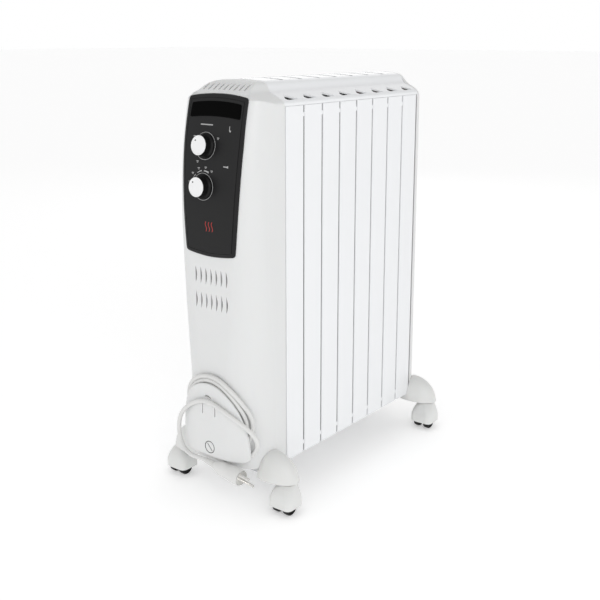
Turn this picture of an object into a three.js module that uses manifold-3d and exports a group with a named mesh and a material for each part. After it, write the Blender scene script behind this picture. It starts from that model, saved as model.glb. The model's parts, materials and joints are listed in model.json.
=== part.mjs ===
// Oil filled radiator heater: eight oil fins, a control housing with two knobs and a cord winder,
// a vented top cover, a rear cover, and two feet with four swivelling twin-wheel casters.
// Millimetres, +Z up. The control end faces -Y and the fins stack along +Y.
import * as THREE from 'three';
import { mergeVertices } from 'three/addons/utils/BufferGeometryUtils.js';
import Module from 'manifold-3d';

const wasm = await Module();
wasm.setup();

// Driving dimensions
const gap = 0.3; // clearance kept between pieces that touch
const depthCentre = 198.68; // from the front wheel axles back to the middle of the footprint
const finCount = 8;
const finPitch = 45.3;
const seamY = 43.6; // where the control housing meets the first fin
const bodyHalfWidth = 80;
const bodyBottom = 62;
const finBottom = 60;
const finTop = 610.5;
const topZ = 648;
const frontY = -34; // flat front of the housing below the panel
const backSeamY = seamY + finCount * finPitch;
const rearCoverDepth = 11;
const shellWall = 2.5;

// Colours
const finWhite = 0xf3f4f5;
const mouldedWhite = 0xf1f1ef;
const footGrey = 0xdededa;
const charcoal = 0x343434;

// Solids -----------------------------------------------------------------------------------

function toSolid(geometry) {
  const bare = geometry.index ? geometry.toNonIndexed() : geometry.clone();
  bare.deleteAttribute('normal');
  bare.deleteAttribute('uv');
  const merged = mergeVertices(bare, 1e-4);
  return new wasm.Manifold(new wasm.Mesh({
    numProp: 3,
    vertProperties: merged.attributes.position.array,
    triVerts: new Uint32Array(merged.index.array),
  }));
}

function toGeometry(solid) {
  const mesh = solid.getMesh();
  const geometry = new THREE.BufferGeometry();
  geometry.setAttribute('position', new THREE.BufferAttribute(mesh.vertProperties, 3));
  geometry.setIndex(new THREE.BufferAttribute(mesh.triVerts, 1));
  const flat = geometry.toNonIndexed();
  flat.computeVertexNormals();
  return flat;
}

function join(first, ...others) {
  return toGeometry(others.reduce((sum, g) => sum.add(toSolid(g)), toSolid(first)));
}

function cut(first, ...others) {
  return toGeometry(others.reduce((left, g) => left.subtract(toSolid(g)), toSolid(first)));
}

function common(first, ...others) {
  return toGeometry(others.reduce((left, g) => left.intersect(toSolid(g)), toSolid(first)));
}

function box(x0, x1, y0, y1, z0, z1) {
  const geometry = new THREE.BoxGeometry(x1 - x0, y1 - y0, z1 - z0);
  return geometry.translate((x0 + x1) / 2, (y0 + y1) / 2, (z0 + z1) / 2);
}

// A cylinder along Y from y0 to y1.
function rodAlongY(radius, x, z, y0, y1, sides = 16) {
  const geometry = new THREE.CylinderGeometry(radius, radius, y1 - y0, sides);
  return geometry.translate(0, (y0 + y1) / 2, 0).translate(x, 0, z);
}

function rodAlongX(radius, y, z, x0, x1, sides = 16) {
  const geometry = new THREE.CylinderGeometry(radius, radius, x1 - x0, sides);
  return geometry.rotateZ(Math.PI / 2).translate((x0 + x1) / 2, y, z);
}

function rodAlongZ(radius, x, y, z0, z1, sides = 16) {
  const geometry = new THREE.CylinderGeometry(radius, radius, z1 - z0, sides);
  return geometry.rotateX(Math.PI / 2).translate(x, y, (z0 + z1) / 2);
}

function plain(depth) {
  return { depth, bevelEnabled: false, curveSegments: 4 };
}

// The shape is drawn in X and Z and reaches from y0 back to y1.
function extrudeAlongY(shape, y0, y1) {
  return new THREE.ExtrudeGeometry(shape, plain(y1 - y0)).rotateX(Math.PI / 2).translate(0, y1, 0);
}

// The shape is drawn in X and Y.
function extrudeAlongZ(shape, z0, z1) {
  return new THREE.ExtrudeGeometry(shape, plain(z1 - z0)).translate(0, 0, z0);
}

function polygon(points) {
  return new THREE.Shape(points.map(([x, y]) => new THREE.Vector2(x, y)));
}

// Mirrors a right half outline, listed from bottom to top, into a whole one.
function mirrored(half) {
  const left = half.filter(([x]) => x > 0).map(([x, z]) => [-x, z]).reverse();
  return [...half, ...left];
}

// Closed body through horizontal rings of equal point counts, listed from bottom to top.
function loft(rings) {
  const count = rings[0].length;
  const positions = rings.flat().flatMap((p) => [p.x, p.y, p.z]);
  const index = [];
  for (let level = 0; level < rings.length - 1; level += 1) {
    for (let i = 0; i < count; i += 1) {
      const next = (i + 1) % count;
      const [a, b] = [level * count + i, level * count + next];
      index.push(a, b, b + count, a, b + count, a + count);
    }
  }
  const top = (rings.length - 1) * count;
  const flat = (ring) => ring.map((p) => new THREE.Vector2(p.x, p.y));
  for (const [a, b, c] of THREE.ShapeUtils.triangulateShape(flat(rings[0]), [])) {
    index.push(c, b, a);
  }
  for (const [a, b, c] of THREE.ShapeUtils.triangulateShape(flat(rings.at(-1)), [])) {
    index.push(top + a, top + b, top + c);
  }
  const geometry = new THREE.BufferGeometry();
  geometry.setAttribute('position', new THREE.Float32BufferAttribute(positions, 3));
  geometry.setIndex(index);
  return geometry;
}

// Body cross-section ------------------------------------------------------------------------

// Half outline of the covers seen from the front: skirt, shoulder, riser and crowned top.
function coverHalfOutline(bottom, inset = 0) {
  const shoulder = [[80, 615], [75, 619.5], [51.4, 630.8], [46, 641.4], [39.7, 645.2], [32, 646.5]];
  const half = [[bodyHalfWidth, bottom], ...shoulder];
  const outline = half.map(([x, z]) => [x - inset, z === bottom ? z : z - inset]);
  return [...outline, [0, topZ - inset]];
}

function coverOutline(bottom, inset = 0) {
  return polygon(mirrored(coverHalfOutline(bottom, inset)));
}

// Control housing ---------------------------------------------------------------------------

const panelFoot = 395; // height at which the front starts to lean back
const brow = 627; // height at which the front rolls over into the top
const cornersStart = 200; // the plan corners grow tighter between these heights
const cornersEnd = 615;
const knobHoleRadius = 4.5;
const browCurve = new THREE.CubicBezierCurve(
  new THREE.Vector2(-8, brow),
  new THREE.Vector2(2, 634),
  new THREE.Vector2(14, 646.5),
  new THREE.Vector2(seamY, topZ),
);

// How far back the middle of the front lies at a height.
function leanBack(z) {
  return 26 * Math.max(0, (z - panelFoot) / (brow - panelFoot)) ** 2.5;
}

function leanAngle(z) {
  return Math.atan2(leanBack(z + 1) - leanBack(z - 1), 2);
}

// One plan section of the housing's outer skin, grown outwards by `out`.
function planRing(z, out, y = frontY + leanBack(z)) {
  const rise = THREE.MathUtils.clamp((z - cornersStart) / (cornersEnd - cornersStart), 0, 1);
  const cornerX = 58 - 34 * rise ** 0.9;
  const cornerY = 58 - 55.1 * rise + 42.1 * rise ** 2;
  const segments = 5;
  const backY = seamY + 10;
  const ring = [];
  const corner = (side, i) => {
    const angle = (i / segments) * (Math.PI / 2);
    const x = bodyHalfWidth - cornerX + (cornerX + out) * Math.sin(angle);
    const drop = (cornerY + out) * (1 - Math.cos(angle));
    ring.push(new THREE.Vector3(side * x, Math.min(y - out + drop, backY - 1), z));
  };
  ring.push(new THREE.Vector3(bodyHalfWidth + out, backY, z));
  ring.push(new THREE.Vector3(-bodyHalfWidth - out, backY, z));
  for (let i = segments; i >= 0; i -= 1) {
    corner(-1, i);
  }
  for (let i = 0; i <= segments; i += 1) {
    corner(1, i);
  }
  return ring;
}

// Solid whose front is the housing's skin grown outwards by `out`.
function frontBody(bottom, out) {
  const rings = [bottom, cornersStart, panelFoot].map((z) => planRing(z, out));
  const steps = 6;
  for (let i = 1; i < steps; i += 1) {
    rings.push(planRing(panelFoot + ((brow - panelFoot) * i) / steps, out));
  }
  for (const p of browCurve.getPoints(5)) {
    rings.push(planRing(p.y + out, out, p.x + out));
  }
  return loft(rings);
}

function housingBody(bottom, out, backY) {
  const outline = coverOutline(bottom, -out);
  return common(frontBody(bottom, out), extrudeAlongY(outline, -80, backY));
}

// Tilted frame of a knob: its local -Y is the knob's axis, pointing out of the panel.
const panelThickness = 2.5;
const knobX = -13;
const knobHeights = { selector: 554, thermostat: 495 };

function knobPlace(z) {
  const spot = new THREE.Object3D();
  spot.position.set(knobX, frontY + leanBack(z) - panelThickness - gap, z);
  spot.rotation.x = -leanAngle(z);
  spot.updateMatrix();
  return spot.matrix;
}

function knobHole(z) {
  return rodAlongY(knobHoleRadius, 0, 0, -10, 16).applyMatrix4(knobPlace(z));
}

const glandX = -22; // where the cord comes through the front
const glandZ = 96.2;
const glandRadius = 3.9;
const glandLength = 28;

const ventRows = [360.5, 322];
const ventPitch = 10.3;
const ventHalfWidth = 1.8;
const ventHalfHeight = 13;

function lensShape(x, z, halfWidth, halfHeight) {
  const shape = new THREE.Shape();
  shape.moveTo(x, z - halfHeight);
  shape.quadraticCurveTo(x + 2 * halfWidth, z, x, z + halfHeight);
  shape.quadraticCurveTo(x - 2 * halfWidth, z, x, z - halfHeight);
  return shape;
}

function frontHousing() {
  const cutters = Object.values(knobHeights).map(knobHole);
  for (const z of ventRows) {
    for (let i = -3; i <= 3; i += 1) {
      const lens = lensShape(i * ventPitch, z, ventHalfWidth, ventHalfHeight);
      const slot = new THREE.ExtrudeGeometry(lens, { ...plain(30), curveSegments: 2 });
      cutters.push(slot.rotateX(Math.PI / 2).translate(0, frontY + 15, 0));
    }
  }
  for (let i = -4; i <= 4; i += 1) {
    cutters.push(box(i * 10 - ventHalfWidth, i * 10 + ventHalfWidth, 0, 15, 628, 660));
  }
  cutters.push(rodAlongY(glandRadius + gap, glandX, glandZ, -60, 0, 12));
  const backY = seamY - 1;
  const inside = common(
    frontBody(bodyBottom + shellWall, -shellWall),
    extrudeAlongY(coverOutline(bodyBottom + shellWall, shellWall), -80, backY + 5),
  );
  return cut(housingBody(bodyBottom, 0, backY), inside, ...cutters);
}

function panelOutline() {
  const shape = new THREE.Shape();
  shape.moveTo(-49, 397);
  shape.quadraticCurveTo(0, 387, 49, 397);
  shape.quadraticCurveTo(57, 480, 58.5, 560);
  shape.lineTo(58, 624);
  shape.quadraticCurveTo(0, 634, -58, 624);
  shape.lineTo(-58.5, 560);
  shape.quadraticCurveTo(-57, 480, -49, 397);
  return shape;
}

// Part of a layer of the housing's front between two offsets, inside an outline.
function frontLayer(outline, inner, outer) {
  const layer = cut(frontBody(300, outer), frontBody(290, inner), box(-90, 90, 5, 80, 280, 660));
  return common(layer, extrudeAlongY(outline, -70, 20));
}

function controlPanel() {
  const sheet = frontLayer(panelOutline(), gap, gap + panelThickness);
  return cut(sheet, ...Object.values(knobHeights).map(knobHole));
}

function displayWindow() {
  const shape = new THREE.Shape();
  shape.moveTo(-50, 594);
  shape.quadraticCurveTo(0, 600, 50, 594);
  shape.lineTo(49, 615);
  shape.quadraticCurveTo(0, 622, -49, 615);
  const inner = panelThickness + 2 * gap;
  return frontLayer(shape, inner, inner + 1);
}

// Knobs and what they turn ------------------------------------------------------------------

const knobSkirtRadius = 18;
const knobCapRadius = 15;
const knobShaftRadius = 3;

function knobSkirt() {
  const outline = [[0, -4.5], [14, -4.5], [17, -3.6], [knobSkirtRadius, -0.6], [knobShaftRadius, -0.6]];
  const profile = [...outline, [knobShaftRadius, 22], [0, 22]].map(([x, y]) => new THREE.Vector2(x, y));
  return new THREE.LatheGeometry(profile, 20);
}

function knobCap() {
  const profile = [[0, -15], [13, -15], [14.4, -13.8], [knobCapRadius, -4.8], [0, -4.8]];
  return new THREE.LatheGeometry(profile.map(([x, y]) => new THREE.Vector2(x, y)), 20);
}

// Switch body behind the panel, bored for the knob's shaft.
function controlBody(width, height, depth) {
  return cut(box(-width, width, 10, 10 + depth, -height, height), rodAlongY(3.4, 0, 0, 5, 24));
}

// Steel plate inside the housing that carries the controls.
function controlBracket() {
  const plate = box(-34, 34, 24, 25.5, 290, 585);
  const lips = [-34, 32.5].map((x) => box(x, x + 1.5, 24, 40, 290, 585));
  const windows = [box(-30, 8, 20, 30, 470, 530), box(-34.5, 9, 20, 30, 534, 572)];
  return cut(join(plate, ...lips), ...windows);
}

function terminalBlock() {
  const block = box(-26, 26, 8, 23.7, 300, 320);
  const wells = [-18, -6, 6, 18].map((x) => rodAlongY(2.6, x, 310, 5, 17, 8));
  return cut(block, ...wells);
}

// Oil system --------------------------------------------------------------------------------

const hubHeights = [110, 560];
const hubRadius = 22;
const boreRadius = 12;
const chamberHalf = 6;

// C-shaped strip with folded lips: the flat panel seen on each side of a fin.
function finWing(side, centre) {
  const half = finPitch / 2 - 1.5;
  const lip = [[76, half], [76, half - 1.5], [78.4, half - 1.5]];
  const outline = [[bodyHalfWidth, -half], [bodyHalfWidth, half], ...lip];
  outline.push(...lip.map(([x, y]) => [x, -y]).reverse());
  return extrudeAlongZ(polygon(outline.map(([x, y]) => [side * x, y + centre])), finBottom, finTop);
}

function oilFin(number) {
  const centre = seamY + (number - 0.5) * finPitch;
  const sheet = box(-78.6, 78.6, centre - 1, centre + 1, finBottom + 14, finTop - 14);
  const chamber = new THREE.Shape();
  chamber.absellipse(0, 150, 52, 66, Math.PI, 2 * Math.PI);
  chamber.absellipse(0, 520, 52, 66, 0, Math.PI);
  const pressing = new THREE.ExtrudeGeometry(chamber, { ...plain(2 * chamberHalf), curveSegments: 2 });
  const parts = [sheet, pressing.rotateX(Math.PI / 2).translate(0, centre + chamberHalf, 0)];
  parts.push(finWing(1, centre), finWing(-1, centre));
  const front = centre - finPitch / 2 + gap / 2;
  const back = number === finCount ? centre + chamberHalf + 4 : centre + finPitch / 2 - gap / 2;
  const boreBack = number === finCount ? centre + chamberHalf : back + 5;
  parts.push(...hubHeights.map((z) => rodAlongY(hubRadius, 0, z, front, back, 10)));
  const bores = hubHeights.map((z) => rodAlongY(boreRadius, 0, z, front - 5, boreBack, 8));
  return cut(join(...parts), ...bores);
}

// Hairpin element lying in the bottom hubs, its two terminals reaching into the housing.
const elementLeg = 6;
const elementRadius = 3.8;

function heatingElement() {
  const [z] = hubHeights;
  const end = backSeamY - 40;
  const start = seamY - 18;
  const legs = [-elementLeg, elementLeg].map((x) => rodAlongY(elementRadius, x, z, start, end + 0.2, 8));
  const ring = new THREE.TorusGeometry(elementLeg, elementRadius, 8, 12).translate(0, end, z);
  return join(...legs, common(ring, box(-20, 20, end, end + 20, z - 20, z + 20)));
}

function hubPlug(z, holes) {
  const front = seamY + gap;
  const head = rodAlongY(16, 0, z, front - 5, front - gap, 6);
  const stub = rodAlongY(boreRadius - 2 * gap, 0, z, front - 2, front + 10, 8);
  return holes.length ? cut(join(head, stub), ...holes) : join(head, stub);
}

function elementFlange() {
  const [z] = hubHeights;
  const holeRadius = elementRadius + 2 * gap;
  return hubPlug(z, [-elementLeg, elementLeg].map((x) => rodAlongY(holeRadius, x, z, 0, 80, 8)));
}

// Covers --------------------------------------------------------------------------------------

// Triangular outlet over one fin, drawn in plan from the fin's front edge.
function outletShape(side, start) {
  const corners = [[61.2, 18], [72, 9], [75.3, 13], [74.2, 39]];
  return polygon(corners.map(([x, y]) => [side * x, start + y]));
}

function topCover() {
  const [front, back] = [seamY - 0.6, backSeamY + 0.4];
  const shell = extrudeAlongY(coverOutline(611), front, back);
  const inside = extrudeAlongY(coverOutline(605, 2), front - 5, back + 5);
  const cutters = [inside];
  for (let i = 0; i < finCount; i += 1) {
    const start = seamY + i * finPitch;
    cutters.push(...[-1, 1].map((side) => extrudeAlongZ(outletShape(side, start), 600, 660)));
    if (i > 0) {
      cutters.push(box(-38, 38, start - 4.5, start + 4.5, 630, 660));
    }
  }
  return cut(shell, ...cutters);
}

// Rear cover lofted forwards from its rounded back face.
function rearCoverBody(inset, depths) {
  const rings = depths.map(([depth, shrink]) => {
    const half = coverHalfOutline(finBottom + inset + shrink, inset + shrink);
    return mirrored(half).map(([x, z]) => new THREE.Vector3(x, z, depth));
  });
  return loft(rings).rotateX(Math.PI / 2);
}

function rearCover() {
  const back = backSeamY + 1 + rearCoverDepth;
  const skin = rearCoverBody(0, [[0, 7], [1.5, 3], [5, 0], [rearCoverDepth, 0]]);
  const inside = rearCoverBody(2, [[2, 7], [3.5, 3], [6, 0], [rearCoverDepth + 5, 0]]);
  return cut(skin.translate(0, back, 0), inside.translate(0, back, 0));
}

// Feet and casters ----------------------------------------------------------------------------

const stemX = 111;
const trail = 9; // wheel axle ahead of the swivel axis
const frontStemY = trail;
const rearStemY = 411 + trail;
const wheelRadius = 13;
const wheelSides = 20;
const axleZ = wheelRadius * Math.cos(Math.PI / wheelSides); // a flat of the rim lies on the floor
const wheelWidth = 10;
const wheelOffset = 10;
const coverFloor = 48;
const hoodTop = 46.8;
const plateTop = 56.5;

// Pressed bracket under the body; a tongue reaches under the fins to the clamp bolt.
function footBracket(reach) {
  const [near, far] = [Math.min(0, reach), Math.max(0, reach)];
  const beam = box(-117, 117, -8, 8, plateTop - 2.5, plateTop);
  const lips = [[-8, -6], [6, 8]].map(([a, b]) => box(-96, 96, a, b, plateTop - 7, plateTop));
  const tongue = box(-34, 34, near - 10, far + 10, plateTop - 2.5, plateTop);
  const holes = [-26, 26].map((x) => rodAlongZ(3.6, x, reach, 40, 70, 8));
  holes.push(...[-stemX, stemX].map((x) => rodAlongZ(4.5, x, 0, 40, 70, 10)));
  return cut(join(beam, ...lips, tongue), ...holes);
}

// U-bolt over the hubs between two fins, with its two nuts under the bracket.
function clampBolt() {
  const [z] = hubHeights;
  const reach = 26;
  const arch = new THREE.TorusGeometry(reach, 3, 6, 12).rotateX(Math.PI / 2).translate(0, 0, z);
  const top = common(arch, box(-40, 40, -5, 5, z, z + 40));
  const parts = [top];
  for (const x of [-reach, reach]) {
    parts.push(rodAlongZ(3, x, 0, 43, z + 0.5, 6));
    parts.push(rodAlongZ(6.5, x, 0, plateTop - 9.3, plateTop - 2.8, 6));
  }
  return join(...parts);
}

// Moulded dome over one end of a bracket, open below.
function footCover(side) {
  const dome = (trim) => {
    const ball = new THREE.SphereGeometry(1, 16, 8).scale(47 - trim, 25 - trim, 41 - trim);
    return ball.translate(side * bodyHalfWidth, 2, 50);
  };
  const sleeve = (trim) => {
    const [a, b] = [side * (62 - trim), side * 90];
    return box(Math.min(a, b), Math.max(a, b), -20 + trim, 24 - trim, coverFloor - trim, 59.5 - trim);
  };
  const [wallA, wallB] = [side * (bodyHalfWidth + gap), side * 140];
  const outside = box(Math.min(wallA, wallB), Math.max(wallA, wallB), -30, 40, coverFloor, 100);
  const body = join(common(dome(0), outside), sleeve(0));
  return cut(body, dome(2.5), sleeve(2.5));
}

function casterStem() {
  const pin = rodAlongZ(4, 0, 0, 33, plateTop + 0.5, 10);
  const collar = rodAlongZ(7, 0, 0, hoodTop + gap, plateTop - 2.8, 10);
  const head = rodAlongZ(6, 0, 0, plateTop + gap, plateTop + 2, 10);
  return join(pin, collar, head);
}

function roundedRing(halfX, halfY, radius, centreY, z) {
  const ring = [];
  for (const [sx, sy, start] of [[1, 1, 0], [-1, 1, 1], [-1, -1, 2], [1, -1, 3]]) {
    for (let i = 0; i <= 2; i += 1) {
      const angle = (start + i / 2) * (Math.PI / 2);
      const x = sx * (halfX - radius) + radius * Math.cos(angle);
      ring.push(new THREE.Vector3(x, centreY + sy * (halfY - radius) + radius * Math.sin(angle), z));
    }
  }
  return ring;
}

function hoodBody(trim) {
  const level = (halfX, halfY, radius, centreY, z) => (
    roundedRing(halfX - trim, halfY - trim, radius - trim, centreY, z - trim)
  );
  return loft([
    level(21, 19, 9, -6, 12),
    level(21, 19, 9, -6, 24),
    level(19.4, 17.6, 11, -5, 34),
    level(16.4, 15.4, 12.5, -2.8, 42),
    level(14, 14, 13.5, 0, hoodTop),
  ]);
}

// Hood that swivels on the stem; the wheels run either side of its middle web.
function casterHood() {
  const web = box(-3.4, 3.4, -17, 6, 12, 34);
  const boss = rodAlongZ(8, 0, 0, 30, hoodTop - 1, 10);
  const ear = box(-3.4, 3.4, -trail - 5, -trail + 5, 8.5, 14);
  const shell = cut(hoodBody(0), hoodBody(2));
  const core = join(common(join(web, boss), hoodBody(1)), ear);
  const stemBore = rodAlongZ(4.4, 0, 0, 32.5, 60, 10);
  const axleBore = rodAlongX(2.2, -trail, axleZ, -10, 10, 10);
  return cut(join(shell, core), stemBore, axleBore);
}

function casterWheel(side) {
  const half = wheelWidth / 2;
  const rim = [[2.2, -half], [wheelRadius - 1.2, -half], [wheelRadius, -half + 1.8]];
  const profile = [...rim, ...rim.map(([r, y]) => [r, -y]).reverse()];
  profile.push(profile[0]);
  const wheel = new THREE.LatheGeometry(profile.map(([r, y]) => new THREE.Vector2(r, y)), wheelSides);
  wheel.rotateY(Math.PI / wheelSides);
  return wheel.rotateZ(Math.PI / 2).translate(side * wheelOffset, -trail, axleZ);
}

function casterAxle() {
  return rodAlongX(1.9, -trail, axleZ, -15.5, 15.5, 10);
}

// Cord winder ---------------------------------------------------------------------------------

const cordRadius = 3.5;
const channelDepth = 9.3;
const plateFace = 13;

// Shield outline: flat bottom, rounded lower corners and a domed top.
function shield({ halfWidth, bottom, top, corner }, grow = 0) {
  const [half, foot, head, round] = [halfWidth + grow, bottom - grow, top + grow, corner + grow];
  const shape = new THREE.Shape();
  const shoulder = foot + 0.62 * (head - foot);
  shape.moveTo(-half + round, foot);
  shape.lineTo(half - round, foot);
  shape.quadraticCurveTo(half, foot, half, foot + round);
  shape.bezierCurveTo(half, shoulder, 0.6 * half, head + 1, 0, head);
  shape.bezierCurveTo(-0.6 * half, head + 1, -half, shoulder, -half, foot + round);
  shape.quadraticCurveTo(-half, foot, -half + round, foot);
  return shape;
}

// Layer parallel to the lower front of the housing, inside an outline.
function lowerLayer(outline, inner, outer) {
  return cut(common(frontBody(40, outer), extrudeAlongY(outline, -70, 20)), frontBody(30, inner));
}

const coreOutline = { halfWidth: 47, bottom: 100, top: 183.5, corner: 34 };
const windingOutline = { halfWidth: 72, bottom: 74.4, top: 208.6, corner: 55 };
const plateOutline = { halfWidth: 68, bottom: 79, top: 195.5, corner: 9 };

function winderCore() {
  const core = lowerLayer(shield(coreOutline), gap, channelDepth);
  return cut(core, box(glandX - 10, 8, -60, 0, 80, glandZ + glandRadius + 1));
}

function winderPlate() {
  const plate = lowerLayer(shield(plateOutline), channelDepth + gap, plateFace);
  const slits = [-12, 13.6].map((x) => box(x - 0.8, x + 0.8, -60, -30, 146, 163));
  return cut(plate, ...slits, box(-7, 6, -60, -30, 174.5, 178));
}

// Space filled by the wound turns of cord, open where the gland lies.
function cordWinding() {
  const solid = lowerLayer(shield(windingOutline), 2 * gap, channelDepth - gap);
  const core = extrudeAlongY(shield(coreOutline, gap), -70, 20);
  const room = box(glandX - glandLength, gap, -60, 0, glandZ - glandRadius - gap, 110);
  return cut(solid, core, room);
}

// Tapered sleeve that turns the cord from the housing into the channel.
function cordGland() {
  const y = frontY - 4.6;
  const start = glandX - 5;
  const outline = [[0, 0], [glandRadius, 0], [glandRadius, 6], [cordRadius + 0.2, -start], [0, -start]];
  const taper = new THREE.LatheGeometry(outline.map(([r, l]) => new THREE.Vector2(r, l)), 10);
  const sleeve = taper.rotateZ(-Math.PI / 2).translate(start, y, glandZ);
  return join(sleeve, rodAlongY(glandRadius, glandX, glandZ, y, frontY + 6, 10));
}

function cordTube(points) {
  const path = new THREE.CatmullRomCurve3(points.map((p) => new THREE.Vector3(...p)));
  const section = new THREE.Shape();
  section.absarc(0, 0, cordRadius, 0, 2 * Math.PI);
  const steps = Math.round(path.getLength() / (4 * cordRadius));
  const options = { steps, extrudePath: path, curveSegments: 4, bevelEnabled: false };
  return new THREE.ExtrudeGeometry(section, options);
}

// The last turn: out of the winding's lower right, over the plate, round its left and to the plug.
const tailRoute = [
  [22, -38.4, 75.6],
  [38, -35.9, 77.6],
  [52, -30.1, 82],
  [62, -24, 87.6],
  [71, -20.9, 96],
  [77, -22.2, 107.5],
  [78.2, -26.4, 119],
  [74.8, -31.9, 129.5],
  [68, -37, 138.5],
  [56, -43.2, 148],
  [43, -48.2, 156.5],
  [29, -51, 163.5],
  [14, -51.7, 168.3],
  [-2, -51.7, 169.6],
  [-18, -51.4, 165.3],
  [-33, -50.3, 157],
  [-46.5, -48, 146.8],
  [-59, -44.4, 134.5],
  [-68.5, -40.8, 120.5],
  [-73, -38.6, 106],
  [-72, -38.8, 91.5],
  [-65, -41, 79.9],
  [-54, -44.3, 72.8],
  [-40.5, -46.9, 70],
  [-26.5, -48.2, 69.8],
  [-15, -48.5, 70.3],
  [-7.3, -48.5, 70.1],
];

function cordTail() {
  const channel = common(frontBody(40, channelDepth), extrudeAlongY(shield(windingOutline, gap), -70, 20));
  const plate = lowerLayer(shield(plateOutline, gap), channelDepth, plateFace + gap);
  return cut(cordTube(tailRoute), channel, plate);
}

// Plug: its axis dips a little towards the pins.
const plugPlace = new THREE.Object3D();
plugPlace.position.set(13, -48.5, 68);
plugPlace.rotation.y = THREE.MathUtils.degToRad(6);

function alongPlug(points, sides) {
  const profile = points.map(([l, r]) => new THREE.Vector2(r, l));
  return new THREE.LatheGeometry(profile, sides).rotateZ(-Math.PI / 2);
}

function plugBody() {
  const relief = [[-20, 0], [-20, 4.2], [-2, 5.6], [2, 6]];
  return alongPlug([...relief, [12, 10.5], [36, 13], [49, 13], [53.7, 12], [53.7, 0]], 12);
}

function plugPins() {
  const face = alongPlug([[54, 0], [54, 11.5], [55.5, 11.5], [55.5, 0]], 12);
  const pins = [-1, 1].map((side) => rodAlongX(2.4, side * 5.6, side * -7.7, 55, 74, 10));
  return join(face, ...pins);
}

// Assembly ------------------------------------------------------------------------------------

const heater = new THREE.Group();
const assembly = new THREE.Group();
assembly.position.y = -depthCentre;
heater.add(assembly);

function material(color, roughness, metalness = 0) {
  return new THREE.MeshStandardMaterial({ color, roughness, metalness });
}

const finPaint = material(finWhite, 0.25);
const whitePlastic = material(mouldedWhite, 0.4);
const footPlastic = material(footGrey, 0.45);
const panelPlastic = material(charcoal, 0.45);
const windowGloss = material(0x0d0d0d, 0.08);
const blackPlastic = material(0x151515, 0.5);
const wheelRubber = material(0x111111, 0.6);
const steel = material(0xb8b8b4, 0.35, 0.9);
const brass = material(0xc8a860, 0.35, 0.9);
const cordPlastic = material(0xececea, 0.5);
const amberLens = material(0xd0661c, 0.2);

function place(parent, name, geometry, finish) {
  const mesh = new THREE.Mesh(geometry, finish);
  mesh.name = name;
  parent.add(mesh);
  return mesh;
}

function spot(x, y, z) {
  const group = new THREE.Group();
  group.position.set(x, y, z);
  assembly.add(group);
  return group;
}

for (let i = 1; i <= finCount; i += 1) {
  place(assembly, `oil_fin_${i}`, oilFin(i), finPaint);
}
place(assembly, 'heating_element', heatingElement(), steel);
place(assembly, 'element_flange', elementFlange(), brass);
place(assembly, 'oil_plug', hubPlug(hubHeights[1], []), brass);
place(assembly, 'top_cover', topCover(), finPaint);
place(assembly, 'rear_cover', rearCover(), whitePlastic);
place(assembly, 'front_housing', frontHousing(), whitePlastic);
place(assembly, 'control_panel', controlPanel(), panelPlastic);
place(assembly, 'display_window', displayWindow(), windowGloss);
place(assembly, 'control_bracket', controlBracket(), steel);
place(assembly, 'terminal_block', terminalBlock(), blackPlastic);

for (const [name, z] of Object.entries(knobHeights)) {
  const control = spot(0, 0, 0);
  control.applyMatrix4(knobPlace(z));
  place(control, `${name}_knob`, knobSkirt(), blackPlastic);
  place(control, `${name}_knob_cap`, knobCap(), whitePlastic);
  const body = name === 'selector' ? 'selector_switch' : 'thermostat';
  place(control, body, controlBody(18, 17, 20), blackPlastic);
}

const lamp = rodAlongY(3, 36, 0, 7, 18, 12); // behind the window, on its right
const lampSpot = spot(0, frontY + leanBack(604), 604);
place(lampSpot, 'pilot_lamp', lamp, amberLens);

const feet = [['front', frontStemY, seamY + finPitch], ['rear', rearStemY, seamY + 7 * finPitch]];
for (const [end, stemY, clampY] of feet) {
  const foot = spot(0, stemY, 0);
  place(foot, `${end}_foot_bracket`, footBracket(clampY - stemY), steel);
  place(spot(0, clampY, 0), `${end}_clamp_bolt`, clampBolt(), steel);
  for (const [hand, side] of [['left', -1], ['right', 1]]) {
    const corner = `${end}_${hand}`;
    place(foot, `foot_cover_${corner}`, footCover(side), footPlastic);
    const caster = spot(side * stemX, stemY, 0);
    place(caster, `caster_stem_${corner}`, casterStem(), steel);
    place(caster, `caster_hood_${corner}`, casterHood(), footPlastic);
    place(caster, `caster_axle_${corner}`, casterAxle(), steel);
    place(caster, `wheel_a_${corner}`, casterWheel(-1), wheelRubber);
    place(caster, `wheel_b_${corner}`, casterWheel(1), wheelRubber);
  }
}

place(assembly, 'winder_core', winderCore(), whitePlastic);
place(assembly, 'winder_plate', winderPlate(), whitePlastic);
place(assembly, 'cord_gland', cordGland(), whitePlastic);
place(assembly, 'cord_winding', cordWinding(), cordPlastic);
place(assembly, 'cord_tail', cordTail(), cordPlastic);
assembly.add(plugPlace);
place(plugPlace, 'plug_body', plugBody(), cordPlastic);
place(plugPlace, 'plug_pins', plugPins(), steel);

export default heater;
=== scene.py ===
"""Oil filled radiator heater: its finished look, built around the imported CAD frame.

Lengths below are millimetres in the design's own directions: x across, y back from the front
wheel axles and z up. at() turns them into metres in the shared frame.
"""
import json
import math

import bmesh
import bpy
from mathutils import Matrix, Vector


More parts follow.
